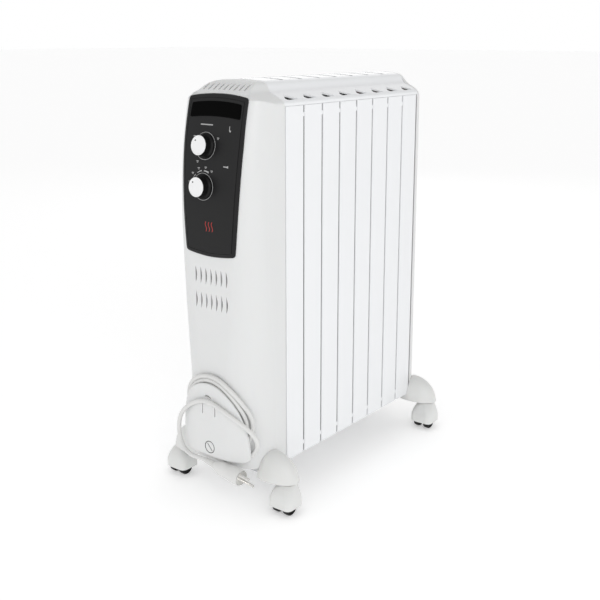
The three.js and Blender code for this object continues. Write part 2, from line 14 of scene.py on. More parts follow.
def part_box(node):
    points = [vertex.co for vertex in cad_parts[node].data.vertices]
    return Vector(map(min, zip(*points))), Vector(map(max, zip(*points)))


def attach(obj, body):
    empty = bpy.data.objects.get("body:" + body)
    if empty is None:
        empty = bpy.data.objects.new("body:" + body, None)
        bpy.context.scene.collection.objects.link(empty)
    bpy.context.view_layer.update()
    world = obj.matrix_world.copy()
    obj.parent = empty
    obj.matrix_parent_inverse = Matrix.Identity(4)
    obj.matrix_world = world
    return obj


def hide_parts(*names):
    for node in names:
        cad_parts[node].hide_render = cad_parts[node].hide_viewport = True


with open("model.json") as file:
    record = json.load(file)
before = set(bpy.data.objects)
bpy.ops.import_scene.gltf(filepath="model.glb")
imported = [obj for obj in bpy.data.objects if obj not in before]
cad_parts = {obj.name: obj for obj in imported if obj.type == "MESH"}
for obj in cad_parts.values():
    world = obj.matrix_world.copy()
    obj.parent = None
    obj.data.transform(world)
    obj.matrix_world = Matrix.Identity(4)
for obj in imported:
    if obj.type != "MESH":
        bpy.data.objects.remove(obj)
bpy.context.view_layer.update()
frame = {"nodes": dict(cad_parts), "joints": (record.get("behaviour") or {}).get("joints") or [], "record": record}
joints = {joint["name"]: joint for joint in frame["joints"]}

# Driving dimensions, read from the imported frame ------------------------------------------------
MM = 0.001
AXLE_Y = joints["wheel_a_roll_front_left"]["pos_m"][1]  # the design's y = 0
ROOT = "heater_body"


def in_design(place):
    """Place in the shared frame, in the design's millimetres."""
    x, y, z = place
    return [round(x / MM, 2), round((y - AXLE_Y) / MM, 2), round(z / MM, 2)]


def node_box(node):
    """Lowest and highest corner of a CAD node, in the design's millimetres."""
    low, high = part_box(node)
    return in_design(low), in_design(high)


def joint_place(name):
    return in_design(joints[name]["pos_m"])


HOUSING_LOW, HOUSING_HIGH = node_box("front_housing")
FIN_LOW, FIN_HIGH = node_box("oil_fin_1")
FIN_COUNT = sum(name.startswith("oil_fin_") for name in frame["nodes"])
FIN_PITCH = round(node_box("oil_fin_2")[0][1] - FIN_LOW[1], 2)
FIN_GAP = 0.3
SEAM_Y = round(FIN_LOW[1] - FIN_GAP / 2, 2)
BACK_SEAM_Y = SEAM_Y + FIN_COUNT * FIN_PITCH
BODY_HALF = HOUSING_HIGH[0]
BODY_BOTTOM = HOUSING_LOW[2]
FIN_BOTTOM = FIN_LOW[2]
FIN_TOP = FIN_HIGH[2]
TOP_Z = node_box("top_cover")[1][2]
FRONT_Y = HOUSING_LOW[1]
KNOB_X = joint_place("selector_knob_turn")[0]
KNOBS = {name: joint_place(f"{name}_knob_turn")[2] for name in ("selector", "thermostat")}
GLAND_Z = round((node_box("cord_gland")[0][2] + node_box("cord_gland")[1][2]) / 2, 2)
STEM_X = joint_place("caster_swivel_front_right")[0]
FRONT_STEM_Y = joint_place("caster_swivel_front_left")[1]
REAR_STEM_Y = joint_place("caster_swivel_rear_left")[1]
TRAIL = FRONT_STEM_Y  # from a stem forward to its wheel axle, which is at y = 0 in front
AXLE_Z = joints["wheel_a_roll_front_left"]["pos_m"][2] / MM
CORNERS = [
    ("front", FRONT_STEM_Y, "left", -1),
    ("front", FRONT_STEM_Y, "right", 1),
    ("rear", REAR_STEM_Y, "left", -1),
    ("rear", REAR_STEM_Y, "right", 1),
]

# Dimensions of the shape itself, repeated from the design because the frame does not state them
PANEL_FOOT = 395
BROW_Z = 627
WALL = 2.5
PANEL_FACE = 2.8  # height of the panel's face over the housing
CORD_RADIUS = 3.5
HUB_HEIGHTS = (110, 560)
COIN_SLOT = (1.5, 93.5)  # middle of the coin slot on the winder's plate, as x and z
COVER_SHOULDER = [(80, 615), (75, 619.5), (51.4, 630.8), (46, 641.4), (39.7, 645.2), (32, 646.5)]


def at(x, y, z):
    """Place in the shared frame, in metres."""
    return Vector((x * MM, y * MM + AXLE_Y, z * MM))


def clamp(value, low=0.0, high=1.0):
    return max(low, min(high, value))


def mix(a, b, share):
    return a + (b - a) * share


def smooth(share):
    share = clamp(share)
    return share * share * (3 - 2 * share)


# Camera ---------------------------------------------------------------------------------------
def make_camera():
    """Camera at the photograph's viewing angle."""
    data = bpy.data.cameras.new("camera")
    camera = bpy.data.objects.new("camera", data)
    camera.location = at(930.1, -1002.6, 710.7)
    camera.rotation_euler = (math.radians(90 - 13.13), 0, math.radians(38.2))
    data.lens = 55.8
    data.shift_y = -0.08
    data.dof.use_dof = False
    bpy.context.scene.collection.objects.link(camera)
    bpy.context.scene.camera = camera


make_camera()


# Shape of the housing's front -----------------------------------------------------------------
def bezier(points, t):
    """Point on a Bezier curve of any degree."""
    points = [Vector(p) for p in points]
    while len(points) > 1:
        points = [a.lerp(b, t) for a, b in zip(points, points[1:])]
    return points[0]


BROW_CURVE = [bezier([(-8, BROW_Z), (2, 634), (14, 646.5), (SEAM_Y, TOP_Z)], i / 60) for i in range(61)]


def front_y(z):
    """Depth of the middle of the housing's front at a height."""
    if z <= BROW_Z:
        return FRONT_Y + 26 * max(0.0, (z - PANEL_FOOT) / (BROW_Z - PANEL_FOOT)) ** 2.5
    for a, b in zip(BROW_CURVE, BROW_CURVE[1:]):
        if z <= b.y:
            return mix(a.x, b.x, (z - a.y) / max(b.y - a.y, 1e-6))
    return SEAM_Y


def corner_size(z):
    """Width and depth of the elliptical front corners at a height."""
    rise = clamp((z - 200) / 415)
    return 58 - 34 * rise ** 0.9, 58 - 55.1 * rise + 42.1 * rise ** 2


def skin_y(x, z, out=0.0):
    """Depth of the housing's skin, grown outwards by out, at a place seen from the front."""
    wide, deep = corner_size(z)
    flat = BODY_HALF - wide
    y = front_y(z) - out
    if abs(x) <= flat:
        return y
    share = min(1.0, (abs(x) - flat) / (wide + out))
    return y + (deep + out) * (1 - math.sqrt(1 - share * share))


# Mesh tools -----------------------------------------------------------------------------------
def mesh_object(name, points, faces):
    """Clean mesh with its normals outwards, from points in metres."""
    mesh = bpy.data.meshes.new(name)
    mesh.from_pydata([tuple(p) for p in points], [], faces)
    obj = bpy.data.objects.new(name, mesh)
    bpy.context.scene.collection.objects.link(obj)
    bm = bmesh.new()
    bm.from_mesh(mesh)
    bmesh.ops.remove_doubles(bm, verts=bm.verts, dist=2e-6)
    bmesh.ops.dissolve_degenerate(bm, edges=bm.edges, dist=2e-6)
    bmesh.ops.recalc_face_normals(bm, faces=bm.faces)
    bm.to_mesh(mesh)
    bm.free()
    return obj


def bake(obj):
    """Turns an object's modifiers into mesh."""
    graph = bpy.context.evaluated_depsgraph_get()
    mesh = bpy.data.meshes.new_from_object(obj.evaluated_get(graph))
    obj.modifiers.clear()
    old = obj.data
    obj.data = mesh
    bpy.data.meshes.remove(old)
    return obj


def join(objects):
    """Joins meshes into the first of them."""
    bm = bmesh.new()
    for obj in objects:
        bm.from_mesh(obj.data)
    bm.to_mesh(objects[0].data)
    bm.free()
    for obj in objects[1:]:
        bpy.data.objects.remove(obj)
    return objects[0]


def carve(obj, cutters):
    """Cuts the cutters, joined, out of a mesh."""
    cutter = join(cutters)
    modifier = obj.modifiers.new("cut", "BOOLEAN")
    modifier.operation = "DIFFERENCE"
    modifier.solver = "EXACT"
    modifier.object = cutter
    bake(obj)
    bpy.data.objects.remove(cutter)
    return obj


def soften(obj, width):
    """Rounds the sharp edges of a carried-over CAD node."""
    modifier = obj.modifiers.new("edges", "BEVEL")
    modifier.width = width * MM
    modifier.segments = 2
    modifier.limit_method = "ANGLE"
    modifier.angle_limit = math.radians(40)


def shade(obj, angle=35):
    """Smooth shading, broken at the edges sharper than an angle."""
    bm = bmesh.new()
    bm.from_mesh(obj.data)
    for face in bm.faces:
        face.smooth = True
    for edge in bm.edges:
        edge.smooth = edge.calc_face_angle(0) < math.radians(angle)
    bm.to_mesh(obj.data)
    bm.free()
    modifier = obj.modifiers.new("normals", "WEIGHTED_NORMAL")
    modifier.keep_sharp = True
    return bake(obj)


def strips(loops, closed=True):
    """Quads between successive loops of equal length, numbered one after another."""
    faces = []
    count = len(loops[0])
    for level in range(len(loops) - 1):
        for i in range(count if closed else count - 1):
            j = (i + 1) % count
            a, b = level * count, (level + 1) * count
            faces.append((a + i, a + j, b + j, b + i))
    return faces


def lofted(name, loops):
    """Body through closed loops of equal length, its two ends filled."""
    count = len(loops[0])
    faces = strips(loops)
    faces.append(tuple(range(count)))
    faces.append(tuple(range(len(loops) * count - count, len(loops) * count)))
    return mesh_object(name, [p for loop in loops for p in loop], faces)


def wrapped(loops):
    """Quads between successive loops, with the last loop joined to the first."""
    count, levels = len(loops[0]), len(loops)
    return [
        (k * count + i, k * count + (i + 1) % count,
         ((k + 1) % levels) * count + (i + 1) % count, ((k + 1) % levels) * count + i)
        for k in range(levels) for i in range(count)
    ]


def lathe(name, profile, place, sides=40, closed=False):
    """Turned body: profile lists (radius, distance along the local z axis) and place is its matrix."""
    loops = []
    for radius, along in profile:
        loops.append([
            place @ Vector((radius * math.cos(a) * MM, radius * math.sin(a) * MM, along * MM))
            for a in (2 * math.pi * i / sides for i in range(sides))
        ])
    points = [p for loop in loops for p in loop]
    if closed:
        return mesh_object(name, points, wrapped(loops))
    count = len(loops)
    ends = [tuple(range(sides)), tuple(range((count - 1) * sides, count * sides))]
    return mesh_object(name, points, strips(loops) + ends)


def block(name, x0, x1, y0, y1, z0, z1):
    loops = [[at(x0, y0, z), at(x1, y0, z), at(x1, y1, z), at(x0, y1, z)] for z in (z0, z1)]
    return lofted(name, loops)


def prism_y(name, outline, y0, y1):
    """The outline of (x, z) points, drawn out from y0 to y1."""
    return lofted(name, [[at(x, y, z) for x, z in outline] for y in (y0, y1)])


def prism_z(name, outline, z0, z1):
    """The outline of (x, y) points, drawn up from z0 to z1."""
    return lofted(name, [[at(x, y, z) for x, y in outline] for z in (z0, z1)])


def resampled(points, count, closed=True):
    """Evenly spaced points along a polyline."""
    points = [Vector(p) for p in points]
    chain = points + [points[0]] if closed else points
    spans = [0.0]
    for a, b in zip(chain, chain[1:]):
        spans.append(spans[-1] + (b - a).length)
    result = []
    k = 0
    steps = count if closed else count - 1
    for i in range(count):
        target = spans[-1] * i / steps
        while k < len(spans) - 2 and spans[k + 1] < target:
            k += 1
        share = (target - spans[k]) / max(spans[k + 1] - spans[k], 1e-9)
        result.append(chain[k].lerp(chain[k + 1], share))
    return result


def rounded(points, radius, steps=4):
    """Open polyline with its inner corners replaced by short curves."""
    points = [Vector(p) for p in points]
    result = [points[0]]
    for a, b, c in zip(points, points[1:], points[2:]):
        reach = min(radius, (a - b).length * 0.48, (c - b).length * 0.48)
        start = b + (a - b).normalized() * reach
        end = b + (c - b).normalized() * reach
        result += [bezier([start, b, end], i / steps) for i in range(steps + 1)]
    return result + [points[-1]]


def eased(points, times):
    """Closed polyline with its corners rounded by averaging."""
    for _ in range(times):
        count = len(points)
        following = points[1:] + points[:1]
        points = [(points[i - 1] + points[i] * 2 + following[i]) / 4 for i in range(count)]
    return points


def inset(points, distance):
    """Closed polyline, listed anticlockwise, moved inwards."""
    count = len(points)
    result = []
    for i in range(count):
        edge = (points[(i + 1) % count] - points[i - 1]).normalized()
        result.append(points[i] + Vector((-edge.y, edge.x)) * distance)
    return result


def skin_plate(name, outline, layers, rings=12):
    """Plate that follows the housing's skin: layers lists (inset, height), from its back to its front."""
    middle = sum(outline, Vector((0, 0))) / len(outline)
    loops = []

    def add(points, height):
        loops.append([at(p.x, skin_y(p.x, p.y, height), p.y) for p in points])

    shares = [(k + 0.35) / rings for k in range(rings)]
    back = inset(outline, layers[0][0])
    front = inset(outline, layers[-1][0])
    for share in shares:
        add([middle.lerp(p, share) for p in back], layers[0][1])
    for distance, height in layers:
        add(inset(outline, distance), height)
    for share in reversed(shares):
        add([middle.lerp(p, share) for p in front], layers[-1][1])
    return lofted(name, loops)


# Materials ------------------------------------------------------------------------------------
def finish(name, colour, roughness, metallic=0.0, grain=1400, bump=0.08, mottle=0.015, coat=0.0,
           stretch=(1, 1, 1), subsurface=0.0, shine=0.5):
    """Procedural surface: broad colour mottle, fine grain in roughness and height."""
    material = bpy.data.materials.new(name)
    material.use_nodes = True
    nodes, links = material.node_tree.nodes, material.node_tree.links
    shader = nodes["Principled BSDF"]
    shader.inputs["Metallic"].default_value = metallic
    shader.inputs["Coat Weight"].default_value = coat
    shader.inputs["Coat Roughness"].default_value = 0.08
    shader.inputs["Subsurface Weight"].default_value = subsurface
    shader.inputs["Specular IOR Level"].default_value = shine
    coords = nodes.new("ShaderNodeTexCoord")
    mapping = nodes.new("ShaderNodeMapping")
    mapping.inputs["Scale"].default_value = stretch
    links.new(coords.outputs["Object"], mapping.inputs["Vector"])
    broad = nodes.new("ShaderNodeTexNoise")
    broad.inputs["Scale"].default_value = 9
    broad.inputs["Detail"].default_value = 3
    links.new(mapping.outputs["Vector"], broad.inputs["Vector"])
    tint = nodes.new("ShaderNodeMix")
    tint.data_type = "RGBA"
    tint.inputs[6].default_value = [*(c * (1 - mottle) for c in colour), 1]
    tint.inputs[7].default_value = [*(min(1, c * (1 + mottle)) for c in colour), 1]
    links.new(broad.outputs["Fac"], tint.inputs[0])
    links.new(tint.outputs[2], shader.inputs["Base Color"])
    fine = nodes.new("ShaderNodeTexNoise")
    fine.inputs["Scale"].default_value = grain
    fine.inputs["Detail"].default_value = 2
    links.new(mapping.outputs["Vector"], fine.inputs["Vector"])
    spread = nodes.new("ShaderNodeMapRange")
    spread.inputs["To Min"].default_value = roughness * 0.85
    spread.inputs["To Max"].default_value = min(1, roughness * 1.15)
    links.new(fine.outputs["Fac"], spread.inputs["Value"])
    links.new(spread.outputs["Result"], shader.inputs["Roughness"])
    height = nodes.new("ShaderNodeBump")
    height.inputs["Strength"].default_value = bump
    height.inputs["Distance"].default_value = 0.0002
    links.new(fine.outputs["Fac"], height.inputs["Height"])
    links.new(height.outputs["Normal"], shader.inputs["Normal"])
    return material


MATERIALS = {
    "fin_paint": finish("fin_enamel", (0.845, 0.855, 0.87), 0.22, grain=420, bump=0.05, coat=0.4),
    "white_plastic": finish(
        "moulded_white", (0.745, 0.745, 0.742), 0.36, grain=2600, bump=0.06, subsurface=0.02
    ),
    "panel_plastic": finish(
        "panel_satin", (0.012, 0.012, 0.0125), 0.42, grain=3200, bump=0.12, mottle=0.05, shine=0.2
    ),
    "window_gloss": finish("window_gloss", (0.0008, 0.0008, 0.0008), 0.08, grain=300, bump=0.01, shine=0.03),
    "amber_lens": finish("lamp_lens", (0.75, 0.25, 0.04), 0.15, bump=0.02, coat=0.5),
    "black_plastic": finish(
        "knob_black", (0.006, 0.006, 0.006), 0.35, grain=2600, bump=0.08, mottle=0.1, shine=0.2
    ),
    "knob_silver": finish("knob_pearl", (0.86, 0.862, 0.865), 0.32, 0.1, grain=2200, bump=0.05),
    "cord_white": finish("cord_pvc", (0.72, 0.72, 0.71), 0.45, grain=1500, bump=0.1, mottle=0.03),
    "pin_metal": finish(
        "pin_nickel", (0.72, 0.71, 0.69), 0.22, 1.0, grain=1500, bump=0.05, stretch=(0.2, 3, 3)
    ),
    "brass": finish("machined_brass", (0.66, 0.48, 0.2), 0.32, 1.0, grain=1600, stretch=(3, 0.2, 3)),
    "zinc_steel": finish("zinc_steel", (0.5, 0.51, 0.52), 0.4, 1.0, grain=700, bump=0.12, mottle=0.12),
    "foot_plastic": finish(
        "foot_satin", (0.75, 0.75, 0.735), 0.38, grain=2600, bump=0.07, subsurface=0.02
    ),
    "wheel_black": finish(
        "wheel_nylon", (0.006, 0.006, 0.006), 0.5, grain=1800, bump=0.15, mottle=0.2, shine=0.25
    ),
}
PRINT = finish("print_grey", (0.42, 0.42, 0.42), 0.5, bump=0.02)
PRINT_RED = finish("print_red", (0.5, 0.03, 0.02), 0.5, bump=0.02)
# Near-black painted shade for recesses: the coin slot's cuts on the winder plate and the knobs' pointer notches.
RECESS_PAINTED_SHADE = finish("recess_painted_shade", (0.06, 0.06, 0.06), 0.6, bump=0.02)
# Near-black painted shade for the faces of the fins' folds that look into the gaps between fins.
FIN_GAP_PAINTED_SHADE = finish("fin_gap_painted_shade", (0.035, 0.035, 0.037), 0.7, grain=500, bump=0.08)


def dress(obj, slot, body=ROOT, nodes=(), material=None):
    """Gives a piece its finish, the body that it rides on and the CAD nodes that it stands for."""
    obj.data.materials.clear()
    obj.data.materials.append(material or MATERIALS[slot])
    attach(obj, body)
    if nodes:
        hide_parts(*nodes)
    return obj


# Cord -----------------------------------------------------------------------------------------
TURNS = 3
POINTS_A_TURN = 24
TURN_PITCH = 7.05
TAIL_ROUTE = [
    (22, -38.4, 75.6), (38, -35.9, 77.6), (52, -30.1, 82), (62, -24, 87.6), (71, -20.9, 96),
    (77, -22.2, 107.5), (78.2, -26.4, 119), (74.8, -31.9, 129.5), (68, -37, 138.5), (56, -43.2, 148),
    (43, -48.2, 156.5), (29, -51, 163.5), (14, -51.7, 168.3), (-2, -51.7, 169.6), (-18, -51.4, 165.3),
    (-33, -50.3, 157), (-46.5, -48, 146.8), (-59, -44.4, 134.5), (-68.5, -40.8, 120.5), (-73, -38.6, 106),
    (-72, -38.8, 91.5), (-65, -41, 79.9), (-54, -44.3, 72.8), (-40.5, -46.9, 70), (-26.5, -48.2, 69.8),
    (-15, -48.5, 70.3), (-7.3, -48.5, 70.1),
]


def shield(half, bottom, top, corner, steps=24):
    """Shield outline from its bottom middle anticlockwise: flat foot, round lower corners, domed top."""
    shoulder = bottom + 0.62 * (top - bottom)
    right = [Vector((0, bottom))]
    right += [bezier([(half - corner, bottom), (half, bottom), (half, bottom + corner)], i / steps)
              for i in range(steps + 1)]
    right += [bezier([(half, bottom + corner), (half, shoulder), (0.6 * half, top + 1), (0, top)], i / steps)
              for i in range(1, steps + 1)]
    return right + [Vector((-p.x, p.y)) for p in reversed(right[1:-1])]


def turn_points():
    """Centreline of the wound turns, spiralling outwards in the channel round the winder's core."""
    points = []
    for i in range(TURNS * POINTS_A_TURN - 1):
        turn = i / POINTS_A_TURN
        grow = TURN_PITCH * turn
        outline = resampled(shield(50.8 + grow, 96.2 - grow, 187.3 + grow, 40 + 9 * turn), 240)
        place = outline[round((turn % 1) * 240) % 240]
        points.append((place.x, skin_y(place.x, place.y, 4.8), place.y))
    return points


def make_cord():
    """Whole mains cord as one curve, and the place where it leaves the gland."""
    curve = bpy.data.curves.new("mains_cord", "CURVE")
    curve.dimensions = "3D"
    spline = curve.splines.new("BEZIER")
    route = [at(*p) for p in turn_points() + TAIL_ROUTE]
    spline.bezier_points.add(len(route) - 1)
    for knot, place in zip(spline.bezier_points, route):
        knot.co = place
        knot.handle_left_type = knot.handle_right_type = "AUTO"
    spline.resolution_u = 8
    curve.bevel_depth = CORD_RADIUS * MM
    curve.bevel_resolution = 6
    curve.use_fill_caps = True
    cord = bpy.data.objects.new("mains_cord", curve)
    bpy.context.scene.collection.objects.link(cord)
    dress(cord, "cord_white", nodes=["cord_winding", "cord_tail"])
    return cord, route[0]


cord, cord_exit = make_cord()


# Plug and gland -------------------------------------------------------------------------------
def make_plug():
    """Moulded plug: ribbed strain relief, waisted grip and a flat pin face."""
    place = Matrix.Translation(at(13, -48.5, 68)) @ Matrix.Rotation(math.radians(6), 4, "Y")
    profile = [(3.9, -20), (4.3, -19.6)]
    for i in range(5):
        start = -18.6 + i * 3.6
        girth = 4.4 + i * 0.3
        waist = girth - 0.9
        profile += [(girth, start), (girth, start + 2.1), (waist, start + 2.4), (waist, start + 3.3)]
    profile += [(6.2, -0.4), (7.6, 4), (9.8, 9), (11.6, 14), (11.9, 20), (11.6, 27), (12.2, 34), (12.9, 38),
                (13, 49), (12.7, 52), (12, 53.7)]
    sides = 44
    loops = []
    for radius, along in profile:
        squareness = 0.10 * smooth((along - 4) / 12) * (1 - smooth((along - 30) / 10))
        loop = []
        for i in range(sides):
            a = 2 * math.pi * i / sides
            r = radius * (1 - squareness * math.cos(2 * a) ** 2)
            loop.append(place @ Vector((along * MM, r * math.cos(a) * MM, r * math.sin(a) * MM)))
        loops.append(loop)
    plug = shade(lofted("plug_moulding", loops), 40)
    return dress(plug, "cord_white", nodes=["plug_body"])


def make_gland():
    """Tapered strain relief with rings, and the stub that holds it in the housing."""
    place = Matrix.Translation(at(0, FRONT_Y - 4.6, GLAND_Z)) @ Matrix.Rotation(math.radians(90), 4, "Y")
    profile = [(3.0, -26.8), (3.7, -26.8), (3.9, -26.2), (3.9, -20)]
    for i in range(6):
        start = -19.5 + i * 3.2
        profile += [(3.85, start), (3.85, start + 1.9), (3.55, start + 2.1), (3.55, start + 3.0)]
    profile += [(3.8, -0.6), (3.6, -0.1), (3.0, -0.1)]
    sleeve = lathe("gland_sleeve", profile, place, 28)
    stub_place = Matrix.Translation(at(-22, FRONT_Y, GLAND_Z)) @ Matrix.Rotation(math.radians(90), 4, "X")
    stub = lathe("gland_stub", [(2.9, -5.8), (3.6, -5.2), (3.8, 1), (3.8, 3.6), (2.5, 4)], stub_place, 24)
    return dress(shade(join([sleeve, stub]), 40), "white_plastic", nodes=["cord_gland"])


plug = make_plug()
gland = make_gland()


# Control housing ------------------------------------------------------------------------------
def housing_ring(limit, z, out=0.0):
    """Plan section of the housing from its left back edge round the front to its right one."""
    wide, deep = corner_size(z)
    flat = BODY_HALF - wide
    y = front_y(z) - out
    back = SEAM_Y - 1
    right = [Vector((flat * i / 8, y)) for i in range(9)]
    for i in range(1, 17):
        a = math.pi / 2 * i / 16
        depth = (deep + out) * (1 - math.cos(a))
        right.append(Vector((flat + (wide + out) * math.sin(a), min(y + depth, back - 0.5))))
    kept = [p for p in right if p.x < limit - 1e-4]
    if len(kept) < len(right):
        a, b = kept[-1] if kept else right[0], right[len(kept)]
        share = (limit - a.x) / max(b.x - a.x, 1e-6)
        kept.append(a.lerp(b, clamp(share)))
    turn, end = kept[-1], Vector((kept[-1].x, back))
    reach = min(4.5, (end - turn).length * 0.45, limit * 0.4)
    front = resampled(kept, 60, closed=False)
    side = [turn.lerp(end, reach / max((end - turn).length, 1e-6)), end]
    length = sum((b - a).length for a, b in zip(kept, kept[1:]))
    cut_at = clamp(1 - reach / max(length, 1e-6), 0.3, 1)
    trimmed = [p for k, p in enumerate(front) if k / 59 <= cut_at]
    start = trimmed[-1]
    half = resampled(trimmed, 30, closed=False)
    half += [bezier([start, turn, side[0]], i / 5) for i in range(1, 5)]
    half += resampled(side, 10, closed=False)
    left = [Vector((-p.x, p.y)) for p in reversed(half[1:])]
    return [at(p.x, p.y, z) for p in left + half]


def lens(x, z, half_height):
    """Vent opening: straight on its left and bowed on its right."""
    foot, head = (x - 1.3, z - half_height), (x - 1.3, z + half_height)
    bowed = [bezier([foot, (x + 4.6, z), head], i / 12) for i in range(13)]
    straight = [bezier([head, (x - 1.9, z), foot], i / 6) for i in range(1, 6)]
    return bowed + straight


def capsule(x, y0, y1, half):
    """Outline of a round-ended slot that runs from front to back."""
    points = []
    for centre, start in ((y0 + half, math.pi), (y1 - half, 0)):
        angles = [start + math.pi * i / 6 for i in range(7)]
        points += [(x + half * math.cos(a), centre + half * math.sin(a)) for a in angles]
    return points


def knob_place(z):
    """Matrix of a knob: its local z axis points out of the panel."""
    tilt = math.atan2(front_y(z + 1) - front_y(z - 1), 2)
    turn = Matrix.Rotation(math.radians(90) - tilt, 4, "X")
    return Matrix.Translation(at(KNOB_X, front_y(z) - PANEL_FACE, z)) @ turn


def shaft_hole(z):
    """Cutter for a knob's shaft."""
    return lathe("shaft_hole", [(4.2, -12), (4.2, 8)], knob_place(z), 32)


def make_housing():
    """Thin walled housing with its vents, top slots and shaft holes."""
    outline = rounded([(BODY_HALF, 604), *COVER_SHOULDER, (0.4, TOP_Z - 0.01)], 5)
    levels = [(BODY_HALF, BODY_BOTTOM + 4 * (1 - math.cos(a)), -4 * (1 - math.sin(a)))
              for a in (math.pi / 2 * i / 5 for i in range(6))]
    levels += [(BODY_HALF, z, 0.0) for z in (75, 90, 110, 130, 150, 175, 200)]
    levels += [(BODY_HALF, z, 0.0) for z in range(220, 400, 20)]
    levels += [(BODY_HALF, z, 0.0) for z in range(400, 600, 10)]
    levels += [(p.x, p.y, 0.0) for p in outline]
    rings = [housing_ring(limit, z, out) for limit, z, out in levels]
    faces = strips(rings, closed=False)
    count = len(rings[0])
    faces.append(tuple(range(count)))
    shell = mesh_object("housing_shell", [p for ring in rings for p in ring], faces)
    thick = shell.modifiers.new("wall", "SOLIDIFY")
    thick.thickness = WALL * MM
    thick.offset = -1
    bake(shell)
    cutters = []
    for z in (360.5, 322):
        for i in range(-3, 4):
            cutters.append(prism_y("vent", lens(i * 10.3, z, 13), -45, -20))
    for i in range(-4, 5):
        cutters.append(prism_z("slot", capsule(i * 10, 0.5, 16, 1.5), 628, 660))
    cutters += [shaft_hole(z) for z in KNOBS.values()]
    carve(shell, cutters)
    return dress(shade(shell, 38), "white_plastic", nodes=["front_housing"])


def panel_outline():
    """Outline of the panel: arched at both ends, with softened corners."""
    half = [bezier([(0, 392), (25, 392.5), (49, 397)], i / 12) for i in range(13)]
    half += [bezier([(49, 397), (57, 480), (58.5, 560)], i / 20) for i in range(1, 21)]
    half += [Vector((58.2, 592)), Vector((58, 624))]
    half += [bezier([(58, 624), (29, 629.2), (0, 629)], i / 12) for i in range(1, 13)]
    outline = half + [Vector((-p.x, p.y)) for p in reversed(half[1:-1])]
    return eased(resampled(outline, 300), 4)


def make_panel():
    """Control panel: bevelled rim strip, shallow groove and raised face."""
    rim = [(0.3, 0.35), (0, 0.7), (0.15, 1.3), (0.8, 1.9), (5.2, 2.35), (5.5, 2.3)]
    groove = [(5.7, 1.7), (6.4, 1.7)]
    layers = rim + groove + [(6.6, 2.4), (7.1, PANEL_FACE)]
    panel = skin_plate("panel_face", panel_outline(), layers, 16)
    for z in KNOBS.values():
        carve(panel, [shaft_hole(z)])
    return dress(shade(panel, 28), "panel_plastic", nodes=["control_panel"])


def make_window():
    """Glossy display window at the top of the panel."""
    points = [bezier([(-49, 594), (0, 600), (49, 594)], i / 20) for i in range(21)]
    points += [bezier([(48, 615), (0, 622), (-48, 615)], i / 20) for i in range(21)]
    outline = eased(resampled(points, 160), 3)
    window = skin_plate("window_lens", outline, [(0, 3.05), (0, 3.7), (0.25, 3.95), (0.7, 4.08)], 8)
    return dress(shade(window, 40), "window_gloss", nodes=["display_window"])


def make_knob(name, z):
    """Black grip with fine flutes, and a pearl face disc with a rim and a pointer dot, painted dark as the shade
    inside the pointer's notch.
    """
    body = f"{name}_knob"
    place = knob_place(z)
    shaft = [(2.9, -20), (2.9, 0.7)]
    skirt = [(17.4, 0.7), (17.9, 1.1), (17.6, 2.3), (16.6, 3.4), (15.9, 4.6)]
    side = [(15.6, 6), (15.1, 12.6)]
    face = [(14.9, 13.6), (14.3, 14.1), (0.4, 14.1)]
    sides = 120
    loops = []
    for radius, along in shaft + skirt + side + face:
        flute = 0.28 if 5 < along < 13 else 0
        loop = []
        for i in range(sides):
            angle = 2 * math.pi * i / sides
            reach = radius - flute * (i % 4 < 2)
            spot = Vector((reach * math.cos(angle), reach * math.sin(angle), along))
            loop.append(place @ (spot * MM))
        loops.append(loop)
    grip = shade(lofted(f"{name}_grip", loops), 30)
    dress(grip, "black_plastic", body, [f"{name}_knob"])
    rim = [(14.2, 14.15), (14.4, 14.35), (14.3, 14.75), (13.6, 14.98), (12.9, 14.9), (12.5, 14.45)]
    disc = lathe(f"{name}_face", [(0.3, 14.15), *rim, (0.3, 14.6)], place, 72)
    dress(shade(disc, 30), "knob_silver", body, [f"{name}_knob_cap"])
    # The pointer is a thin disc in near-black painted shade, standing for the shade inside the cap's pointer
    # notch.
    upper_left = place @ Matrix.Rotation(math.radians(45), 4, "Z") @ Matrix.Translation((0, 9.6 * MM, 0))
    profile = [(0.05, 14.3), (1.2, 14.3), (1.2, 14.62), (0.05, 14.66)]
    dot = lathe(f"{name}_pointer", profile, upper_left, 20)
    dress(shade(dot, 30), "knob_silver", body, material=RECESS_PAINTED_SHADE)


def flat_mark(name, outline):
    """Thin printed mark on the panel."""
    heights = (PANEL_FACE - 0.02, PANEL_FACE + 0.06)
    loops = [[at(x, skin_y(x, z, height), z) for x, z in outline] for height in heights]
    return lofted(name, loops)


def bar(x, z, half_x, half_z, lean=0.0):
    """Outline of a rectangle, leaning by an angle."""
    corners = [(-half_x, -half_z), (half_x, -half_z), (half_x, half_z), (-half_x, half_z)]
    c, s = math.cos(lean), math.sin(lean)
    return [(x + a * c - b * s, z + a * s + b * c) for a, b in corners]


def arc_mark(z, start, end, inner, outer_start, outer_end):
    """Curved wedge round a knob; angles run clockwise from the top."""
    steps = 10

    def place(angle, radius):
        return KNOB_X + radius * math.sin(angle), z + radius * math.cos(angle)

    angles = [math.radians(mix(start, end, i / steps)) for i in range(steps + 1)]
    outside = [place(a, mix(outer_start, outer_end, i / steps)) for i, a in enumerate(angles)]
    return outside + [place(a, inner) for a in reversed(angles)]


def ring_mark(z, inner, outer):
    """Thin raised ring round a knob."""
    steps = 72
    low, high = PANEL_FACE - 0.02, PANEL_FACE + 0.25
    loops = []
    for radius, height in ((inner, low), (inner, high), (outer, high), (outer, low)):
        loop = []
        for i in range(steps):
            a = 2 * math.pi * i / steps
            x, up = KNOB_X + radius * math.cos(a), z + radius * math.sin(a)
            loop.append(at(x, skin_y(x, up, height), up))
        loops.append(loop)
    return mesh_object("ring_mark", [p for loop in loops for p in loop], wrapped(loops))


